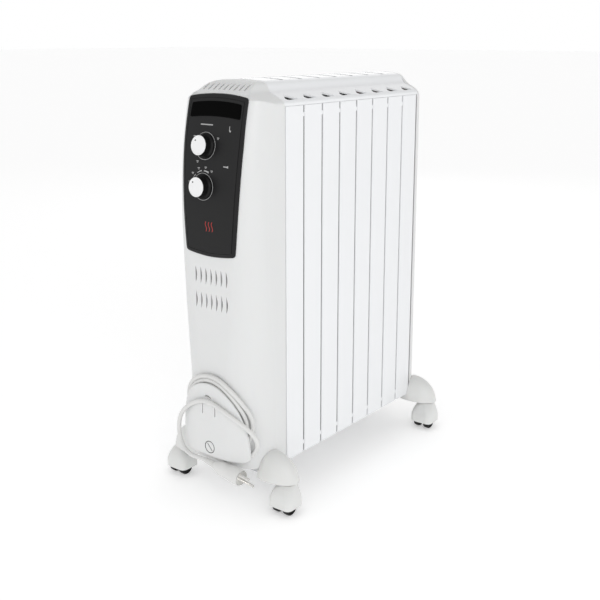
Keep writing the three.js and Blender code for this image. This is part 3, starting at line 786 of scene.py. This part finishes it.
def make_marks():
    """Plain scale marks: a growing arc over the thermostat knob, ticks by the selector and a blank bar."""
    low, high = KNOBS["thermostat"], KNOBS["selector"]
    marks = [flat_mark("mark", arc_mark(low, a, b, 22.4, 22.4 + g, 22.4 + h))
             for a, b, g, h in ((-68, -42, 0.5, 1.0), (-32, -8, 1.0, 1.7), (2, 26, 1.7, 2.5))]
    ticks = [(-78, low, 27.5), (-48, low, 28.5), (-20, low, 28.5), (8, low, 29), (34, low, 29)]
    ticks += [(-150, high, 26), (-60, high, 26.5), (62, high, 27)]
    for angle, z, radius in ticks:
        a = math.radians(angle)
        x, up = KNOB_X + radius * math.sin(a), z + radius * math.cos(a)
        marks.append(flat_mark("mark", bar(x, up, 2.2, 0.55)))
        marks.append(flat_mark("mark", bar(x, up - 1.9, 1.3, 0.4)))
    icons = ((31, 581, 0.5, 3.2), (32.6, 577.4, 1.2, 1.2), (30, 527, 4.6, 0.7), (33.6, 527, 1.2, 1.5))
    for x, z, half_x, half_z in icons:
        marks.append(flat_mark("mark", bar(x, z, half_x, half_z)))
    marks.append(flat_mark("mark", bar(-14, 584.5, 12, 0.8)))
    marks += [ring_mark(z, 19.4, 20.0) for z in KNOBS.values()]
    dress(shade(join(marks), 40), "panel_plastic", material=PRINT).name = "panel_marks"
    waves = []
    for k in range(3):
        path = [(-6 + 6 * k + 1.3 * math.sin(2 * math.pi * i / 12), 430 + i * 1.2) for i in range(13)]
        right = [(x + 0.5, z) for x, z in path]
        left = [(x - 0.5, z) for x, z in reversed(path)]
        waves.append(flat_mark("wave", right + left))
    dress(shade(join(waves), 40), "panel_plastic", material=PRINT_RED).name = "panel_heat_waves"


make_housing()
make_panel()
make_window()
for knob_name, knob_z in KNOBS.items():
    make_knob(knob_name, knob_z)
make_marks()


# Winder ---------------------------------------------------------------------------------------
def make_winder_core():
    """Core that the cord is wound on, notched where the gland leaves the housing."""
    outline = resampled(shield(47, 100, 183.5, 34), 120)
    core = skin_plate("winder_hub", outline, [(0, 0.4), (0, 8.9), (0.4, 9.3)], 8)
    carve(core, [block("room", -33, 9, -60, 0, 80, GLAND_Z + 4.9)])
    dress(shade(core, 35), "white_plastic", nodes=["winder_core"])


def plate_cutters():
    """Cutters for the plate's clip slits and gaps, and for its coin slot."""
    cutters = [block("slit", x - 0.9, x + 0.9, -60, -35, 146, top) for x, top in ((-12, 162), (13.6, 167))]
    gap = [(-7, 174.6), (0, 174.2), (6, 173), (6, 175), (0, 178), (-5, 177.6)]
    cutters.append(prism_y("gap", gap, -60, -35))
    gap = [(5.5, 167), (13.4, 163), (13.4, 160.5), (8, 160.8)]
    cutters.append(prism_y("gap", gap, -60, -35))
    x, z = COIN_SLOT
    spot = Matrix.Translation(at(x, -46.3, z)) @ Matrix.Rotation(math.radians(90), 4, "X")
    ring = [(8.7, 0), (10.0, 0), (10.0, 6), (8.7, 6)]
    cutters.append(lathe("ring", ring, spot, 56, closed=True))
    cutters.append(prism_y("bar", bar(x, z, 7.4, 0.9, math.radians(-48)), -55, -46.2))
    return cutters


def make_winder_plate():
    """Domed plate with a rounded edge, which holds the turns on the core."""
    outline = eased(resampled(shield(68, 79, 195.5, 9), 240), 2)
    back_edge = [(0.6, 9.65), (0.1, 9.9), (0, 10.4)]
    front_edge = [(0, 12.0), (0.25, 12.5), (0.7, 12.8), (1.3, 12.98), (4, 13.0)]
    plate = skin_plate("winder_face", outline, back_edge + front_edge, 18)
    for cutter in plate_cutters():
        carve(plate, [cutter])
    dress(shade(plate, 38), "white_plastic", nodes=["winder_plate"])
    # Faces inside the coin slot's cuts, behind the plate's front, get the near-black recess material: painted
    # shade in the slot.
    plate.data.materials.append(RECESS_PAINTED_SHADE)
    for polygon in plate.data.polygons:
        x, y, z = polygon.center / MM
        near = math.hypot(x - COIN_SLOT[0], z - COIN_SLOT[1]) < 10.3
        if near and y - AXLE_Y / MM > skin_y(x, z, 12.85):
            polygon.material_index = 1


make_winder_core()
make_winder_plate()


# Fins and covers ------------------------------------------------------------------------------
def wing(side, centre):
    """Folded side panel of a fin, with rounded bends."""
    half = FIN_PITCH / 2 - 1.45
    outer = rounded([(62, half), (BODY_HALF, half), (BODY_HALF, -half), (62, -half)], 2.6, 6)
    inner = rounded([(62, 1.2 - half), (78.4, 1.2 - half), (78.4, half - 1.2), (62, half - 1.2)], 1.4, 4)
    loop = [(side * p.x, centre + p.y) for p in outer + inner]
    return prism_z("wing", loop, FIN_BOTTOM, FIN_TOP)


def tab(side, edge, z):
    """Small tab that bridges the gap to the next fin."""
    x = sorted((side * 77.4, side * 79.1))
    return block("tab", x[0], x[1], edge - 0.3, edge + 2.2, z - 3, z + 3)


def chamber_half(x, z):
    """Half thickness of the pressed fin: 1 mm of sheet, swelling over the oil chamber."""
    half, end = 52, 66
    low, high = 150, 520
    past = max(low - z, z - high, 0)
    reach = half * (1 - math.hypot(x / half, past / end)) if past else half - abs(x)
    swell = 5 * smooth(reach / 9)
    rib = max(0.0, 1 - ((abs(x) - 24) / 5) ** 2) * smooth((z - low) / 30) * smooth((high - z) / 30)
    return 1 + swell - 2.6 * rib * (swell > 2)


def fin_sheet(centre):
    """Web of the fin with its pressed oil chamber."""
    columns, rows = 60, 96
    low, high = FIN_BOTTOM + 14, FIN_TOP - 14
    xs = [mix(-78.4, 78.4, i / columns) for i in range(columns + 1)]
    zs = [mix(low, high, i / rows) for i in range(rows + 1)]
    loops = []
    for z in zs:
        loop = [at(x, centre - chamber_half(x, z), z) for x in xs]
        loop += [at(x, centre + chamber_half(x, z), z) for x in reversed(xs)]
        loops.append(loop)
    return lofted("sheet", loops)


def make_fin(number):
    """One fin: sheet, side panels, hubs and tabs, with near-black painted shade on the folds' hidden faces,
    darkening the gaps between fins.
    """
    centre = SEAM_Y + (number - 0.5) * FIN_PITCH
    parts = [fin_sheet(centre), wing(1, centre), wing(-1, centre)]
    front = centre - FIN_PITCH / 2 + 0.15
    back = centre + 10 if number == FIN_COUNT else centre + FIN_PITCH / 2 - 0.15
    for z in HUB_HEIGHTS:
        place = Matrix.Translation(at(0, front, z)) @ Matrix.Rotation(math.radians(-90), 4, "X")
        depth = back - front
        profile = [(12, 0), (19.5, 0), (21, 0.6), (21.6, 2), (20.4, 4), (20.2, depth - 4), (21.6, depth - 2),
                   (21, depth - 0.6), (19.5, depth), (12, depth)]
        parts.append(lathe("hub", profile, place, 36, closed=True))
    if number < FIN_COUNT:
        edge = centre + FIN_PITCH / 2 - 1.45
        parts += [tab(side, edge, z) for side in (-1, 1) for z in (76, 597)]
    fin = shade(join(parts), 40)
    fin.name = f"fin_pressing_{number}"
    dress(fin, "fin_paint", nodes=[f"oil_fin_{number}"])
    # The folds' faces that look into the gap to the next fin get the near-black painted shade, so the gaps read
    # dark.
    fin.data.materials.append(FIN_GAP_PAINTED_SHADE)
    for polygon in fin.data.polygons:
        across = abs(polygon.center.x) / MM
        if 61 < across < 78.9 and abs(polygon.normal.y) > 0.6 and polygon.area > 1e-3:
            polygon.material_index = 1


def cover_outline(bottom):
    """Closed outline of the covers, anticlockwise from the lower right."""
    half = rounded([(BODY_HALF, bottom), *COVER_SHOULDER, (0, TOP_Z)], 5)
    right = resampled(half, 70, closed=False)
    return right + [Vector((-p.x, p.y)) for p in reversed(right[:-1])]


def make_top_cover():
    """Cover over the fins, with an outlet per fin on each shoulder and a slot over each gap."""
    front, back = SEAM_Y - 0.6, BACK_SEAM_Y + 0.4
    outer = cover_outline(611)
    inner = [Vector((p.x * 78 / 80, p.y - 2.0)) for p in outer]
    inner[0].y = inner[-1].y = 611
    loops = []
    for shrink, y in ((0.5, front), (0, front + 0.6), (0, back - 0.6), (0.5, back)):
        edge = [Vector((p.x * (1 - shrink / BODY_HALF), p.y - shrink * (p.y > 612))) for p in outer]
        loops.append([at(p.x, y, p.y) for p in edge] + [at(p.x, y, p.y) for p in reversed(inner)])
    cover = lofted("top_cover_shell", loops)
    cutters = []
    for i in range(FIN_COUNT):
        start = SEAM_Y + i * FIN_PITCH
        for side in (-1, 1):
            corners = [Vector(p) for p in ((61.2, 18), (72, 9), (75.3, 13), (74.2, 39))]
            loop = eased(resampled(corners, 40), 3)
            cutters.append(prism_z("outlet", [(side * p.x, start + p.y) for p in loop], 600, 660))
        if i:
            points = []
            for centre, turn in ((-35.5, math.pi / 2), (35.5, -math.pi / 2)):
                angles = [turn + math.pi * k / 6 for k in range(7)]
                points += [(centre + 3 * math.cos(a), start + 4.2 * math.sin(a)) for a in angles]
            cutters.append(prism_z("slot", points, 630, 660))
    carve(cover, cutters)
    dress(shade(cover, 30), "fin_paint", nodes=["top_cover"])


def make_rear_cover():
    """Rear tray with rounded edges."""
    back = BACK_SEAM_Y + 12
    outline = cover_outline(FIN_BOTTOM)
    foot = [Vector((mix(-BODY_HALF, BODY_HALF, i / 40), FIN_BOTTOM)) for i in range(1, 40)]
    outline = eased(resampled(outline + foot, 360), 3)
    loops = []
    arc = [(7 * (1 - math.sin(a)), 5 * (1 - math.cos(a))) for a in (math.pi / 2 * i / 7 for i in range(8))]
    for shrink, depth in arc + [(0, 8), (0, 10.7), (0.3, 11), (1.7, 11), (2, 10.7)]:
        loops.append([at(p.x, back - depth, p.y) for p in inset(outline, shrink)])
    for shrink, depth in reversed(arc):
        loops.append([at(p.x, back - 2 - depth * 0.8, p.y) for p in inset(outline, shrink + 2)])
    cover = lofted("rear_cover_shell", loops)
    dress(shade(cover, 35), "white_plastic", nodes=["rear_cover"])


for fin_number in range(1, FIN_COUNT + 1):
    make_fin(fin_number)
make_top_cover()
make_rear_cover()


# Feet and casters -----------------------------------------------------------------------------
def foot_cover_loops(side, stem_y):
    """Half-dome over the end of a bracket: its outer sections, then its inner ones 2.5 mm in."""
    floor = 48
    centre = stem_y + 2
    dome_x = 80.4
    dome_reach = 46.6
    foot_x = 62.3
    sections = []
    for x in (62.3, 62.6, 63.6, 66, 68, 70, 72, 74, 76, 78):
        ease = math.sqrt(clamp(1 - ((dome_x - x) / 19.2) ** 2))
        sections.append((x, mix(16, 25, ease), mix(10, 42, ease), 0.9))
    steps = 18
    for i in range(steps + 1):
        a = math.pi / 2 * i / steps * 0.995
        sections.append((dome_x + dome_reach * math.sin(a), 25 * math.cos(a), 42 * math.cos(a), 1.0))
    loops = []
    for wall in (0, 2.5):
        for x, half, rise, power in (sections if wall == 0 else reversed(sections)):
            half, rise = max(half - wall, 0.15), max(rise - wall, 0.1)
            if wall:
                x = clamp(x, foot_x + wall, dome_x + dome_reach - wall)
            loop = []
            for k in range(33):
                v = math.pi * k / 32
                y = half * math.copysign(abs(math.cos(v)) ** power, math.cos(v))
                z = rise * abs(math.sin(v)) ** power
                lip = 0.7 if wall == 0 and z < 2.4 and x > BODY_HALF + 0.3 else 0
                y = math.copysign(min(abs(y) + lip * (abs(y) > 1), 24.9), y)
                loop.append(at(side * (x + lip * 0.5), centre + y, floor + z))
            loops.append(loop)
    return loops


def foot_cover_faces(loops):
    """Faces of the two skins, and of the rims that join them."""
    half = len(loops) // 2
    count = len(loops[0])
    total = len(loops)
    faces = strips(loops[:half], closed=False)
    faces += [tuple(i + half * count for i in f) for f in strips(loops[half:], closed=False)]
    for k in range(half - 1):
        a, b = k * count, (k + 1) * count
        c, d = (total - 1 - k) * count, (total - 2 - k) * count
        for edge in (0, count - 1):
            faces.append((a + edge, b + edge, d + edge, c + edge))
    for i in range(count - 1):
        faces.append((i, i + 1, (total - 1) * count + i + 1, (total - 1) * count + i))
        tip = (half - 1) * count + i
        faces.append((tip, tip + 1, half * count + i + 1, half * count + i))
    return faces


def make_foot_cover(end, stem_y, hand, side):
    """Foot cover, cut back from the housing and the rear cover."""
    loops = foot_cover_loops(side, stem_y)
    points = [p for loop in loops for p in loop]
    cover = mesh_object(f"foot_shell_{end}_{hand}", points, foot_cover_faces(loops))
    front = [(x, skin_y(x, 100, 0.5)) for x in (i * 5 - BODY_HALF for i in range(33))]
    half = BODY_HALF + 0.3
    back = BACK_SEAM_Y + 12.4
    outline = front + [(half, front[-1][1]), (half, back), (-half, back), (-half, front[0][1])]
    carve(cover, [prism_z("body_room", outline, FIN_BOTTOM - 0.4, 130)])
    dress(shade(cover, 40), "foot_plastic", nodes=[f"foot_cover_{end}_{hand}"])


HOOD_LEVELS = [  # height, half sizes across and along, corner radius, middle along
    (12, 21, 19, 9, -6),
    (24, 21, 19, 9, -6),
    (34, 19.4, 17.6, 11, -5),
    (42, 16.4, 15.4, 12.5, -2.8),
    (46.8, 14, 14, 13.5, 0),
]


def hood_level(z):
    """Half sizes, corner radius and centre of the hood's outline at a height."""
    for k in range(len(HOOD_LEVELS) - 1):
        a, b = HOOD_LEVELS[k], HOOD_LEVELS[k + 1]
        if z <= b[0]:
            before = HOOD_LEVELS[max(k - 1, 0)]
            after = HOOD_LEVELS[min(k + 2, len(HOOD_LEVELS) - 1)]
            t = (z - a[0]) / (b[0] - a[0])
            result = []
            for p0, p1, p2, p3 in zip(before[1:], a[1:], b[1:], after[1:]):
                result.append(0.5 * (2 * p1 + (p2 - p0) * t + (2 * p0 - 5 * p1 + 4 * p2 - p3) * t * t
                                     + (3 * p1 - p0 - 3 * p2 + p3) * t ** 3))
            return result
    return list(HOOD_LEVELS[-1][1:])


def hood_loop(z, stem, wall=0.0):
    """Outline of the hood at a height, moved in by a wall."""
    half_x, half_y, radius, centre = hood_level(z)
    half_x, half_y = min(half_x, 21.0) - wall, min(half_y, 19.0) - wall
    radius = max(1.0, min(radius - wall, half_x, half_y))
    loop = []
    for sx, sy, start in ((1, 1, 0), (-1, 1, 1), (-1, -1, 2), (1, -1, 3)):
        for i in range(9):
            a = (start + i / 8) * math.pi / 2
            loop.append(at(stem[0] + sx * (half_x - radius) + radius * math.cos(a),
                           stem[1] + centre + sy * (half_y - radius) + radius * math.sin(a), z))
    return loop


def hood_shell(corner, stem):
    """Hollow hood with a rolled rim."""
    heights = [12.4 + i * 1.6 for i in range(21)] + [45.6, 46.3]
    loops = [hood_loop(12.2, stem, 0.7), hood_loop(12.0, stem, 0.3), hood_loop(12.6, stem, 0.0)]
    loops += [hood_loop(z, stem) for z in heights[1:]]
    loops += [hood_loop(46.7, stem, 1.0)]
    inner = [hood_loop(min(z, 43), stem, 2.0 if z < 43 else 2.4) for z in reversed(heights) if z <= 43]
    inner += [hood_loop(13, stem, 1.9)]
    points = [p for loop in loops + inner for p in loop]
    count = len(loops[0])
    faces = strips(loops)
    shift = len(loops) * count
    faces += [tuple(i + shift for i in f) for f in strips(inner)]
    faces.append(tuple(range(shift - count, shift)))
    faces.append(tuple(range(shift, shift + count)))
    last = shift + (len(inner) - 1) * count
    for i in range(count):
        j = (i + 1) % count
        faces.append((i, j, last + j, last + i))
    return mesh_object(f"caster_shell_{corner}", points, faces)


def make_hood(end, stem_y, hand, side):
    """Hood with its web between the wheels, the boss for the stem and the ear for the axle."""
    corner = f"{end}_{hand}"
    x, y = side * STEM_X, stem_y
    shell = hood_shell(corner, (x, y))
    web = block("web", x - 3.3, x + 3.3, y - 16, y + 5, 13, 32)
    boss_place = Matrix.Translation(at(x, y, 0))
    profile = [(4.5, 32), (7.6, 32), (8, 32.5), (8, 43.2), (4.5, 43.2)]
    boss = lathe("boss", profile, boss_place, 32, True)
    carve(shell, [lathe("stem_bore", [(4.5, 36), (4.5, 60)], boss_place, 32)])
    axle = at(x, y - TRAIL, AXLE_Z)
    ear_place = Matrix.Translation(axle) @ Matrix.Rotation(math.radians(90), 4, "Y")
    profile = [(2.2, -3.35), (5.4, -3.35), (5.9, -2.8), (5.9, 2.8), (5.4, 3.35), (2.2, 3.35)]
    ear = lathe("ear", profile, ear_place, 28, True)
    shell = join([shell, web, boss, ear])
    dress(shade(shell, 40), "foot_plastic", f"caster_{corner}", [f"caster_hood_{corner}"])


def make_wheel(corner, letter):
    """Caster wheel: crowned tread, recessed flank with a hub."""
    centre = joints[f"wheel_{letter}_roll_{corner}"]["pos_m"]
    place = Matrix.Translation(Vector(centre)) @ Matrix.Rotation(math.radians(90), 4, "Y")
    tread = centre[2] / MM
    flank = [(2.2, -4.9), (4.2, -4.9), (4.5, -4.6), (4.9, -3.4), (9.6, -3.4), (10.1, -4.5), (10.6, -4.9),
             (tread - 1.2, -4.8), (tread - 0.4, -4.2), (tread - 0.06, -3), (tread, -1.2)]
    profile = flank + [(r, -z) for r, z in reversed(flank)]
    wheel = lathe(f"wheel_tyre_{letter}_{corner}", profile, place, 56, closed=True)
    dress(shade(wheel, 35), "wheel_black", f"wheel_{letter}_{corner}", [f"wheel_{letter}_{corner}"])


for end, stem_y, hand, side in CORNERS:
    make_foot_cover(end, stem_y, hand, side)
    make_hood(end, stem_y, hand, side)
    for letter in ("a", "b"):
        make_wheel(f"{end}_{hand}", letter)


# CAD nodes that stay: softened edges and their own finishes -------------------------------------
def dress_cad_nodes():
    """Gives each carried-over node its finish and softer edges."""
    slots = {part["node"]: part["material_slot"] for part in frame["record"]["subparts"]}
    for name, obj in frame["nodes"].items():
        if obj.hide_render:
            continue
        obj.data.materials.clear()
        obj.data.materials.append(MATERIALS[slots[name]])
        soften(obj, 0.35)


dress_cad_nodes()


# Stage ----------------------------------------------------------------------------------------
def make_floor():
    """Large pale floor, with a little light of its own so that it reads white."""
    half = 40
    corners = [(-half, -half, 0), (half, -half, 0), (half, half, 0), (-half, half, 0)]
    floor = mesh_object("studio_floor", corners, [(0, 1, 2, 3)])
    paper = finish("studio_paper", (0.94, 0.94, 0.94), 0.85, grain=60, bump=0.01, mottle=0.004)
    shader = paper.node_tree.nodes["Principled BSDF"]
    shader.inputs["Emission Color"].default_value = (1, 1, 1, 1)
    shader.inputs["Emission Strength"].default_value = 0.31
    floor.data.materials.append(paper)


def make_world():
    """White surround, brightest at the horizon and dimmer overhead."""
    world = bpy.data.worlds.new("studio")
    world.use_nodes = True
    nodes, links = world.node_tree.nodes, world.node_tree.links
    coords = nodes.new("ShaderNodeTexCoord")
    parts = nodes.new("ShaderNodeSeparateXYZ")
    fade = nodes.new("ShaderNodeMapRange")
    fade.inputs["From Min"].default_value = 0.1
    fade.inputs["From Max"].default_value = 0.9
    fade.inputs["To Min"].default_value = 1.0
    fade.inputs["To Max"].default_value = 0.55
    links.new(coords.outputs["Generated"], parts.inputs["Vector"])
    links.new(parts.outputs["Z"], fade.inputs["Value"])
    links.new(fade.outputs["Result"], nodes["Background"].inputs["Strength"])
    nodes["Background"].inputs["Color"].default_value = (1, 1, 1, 1)
    bpy.context.scene.world = world


def make_light(name, place, size, power):
    """Soft square lamp, aimed at the middle of the heater."""
    data = bpy.data.lights.new(name, "AREA")
    data.size = size
    data.energy = power
    light = bpy.data.objects.new(name, data)
    light.location = place
    light.rotation_euler = (Vector((0, 0, 0.3)) - Vector(place)).to_track_quat("-Z", "Y").to_euler()
    bpy.context.scene.collection.objects.link(light)


make_floor()
make_world()
make_light("key", (1.7, -1.5, 1.3), 1.1, 9)
make_light("front", (-0.9, -2.6, 1.6), 1.6, 0.8)
make_light("back", (-1.5, 2.4, 1.6), 1.8, 3)
bpy.context.scene.view_settings.view_transform = "Standard"
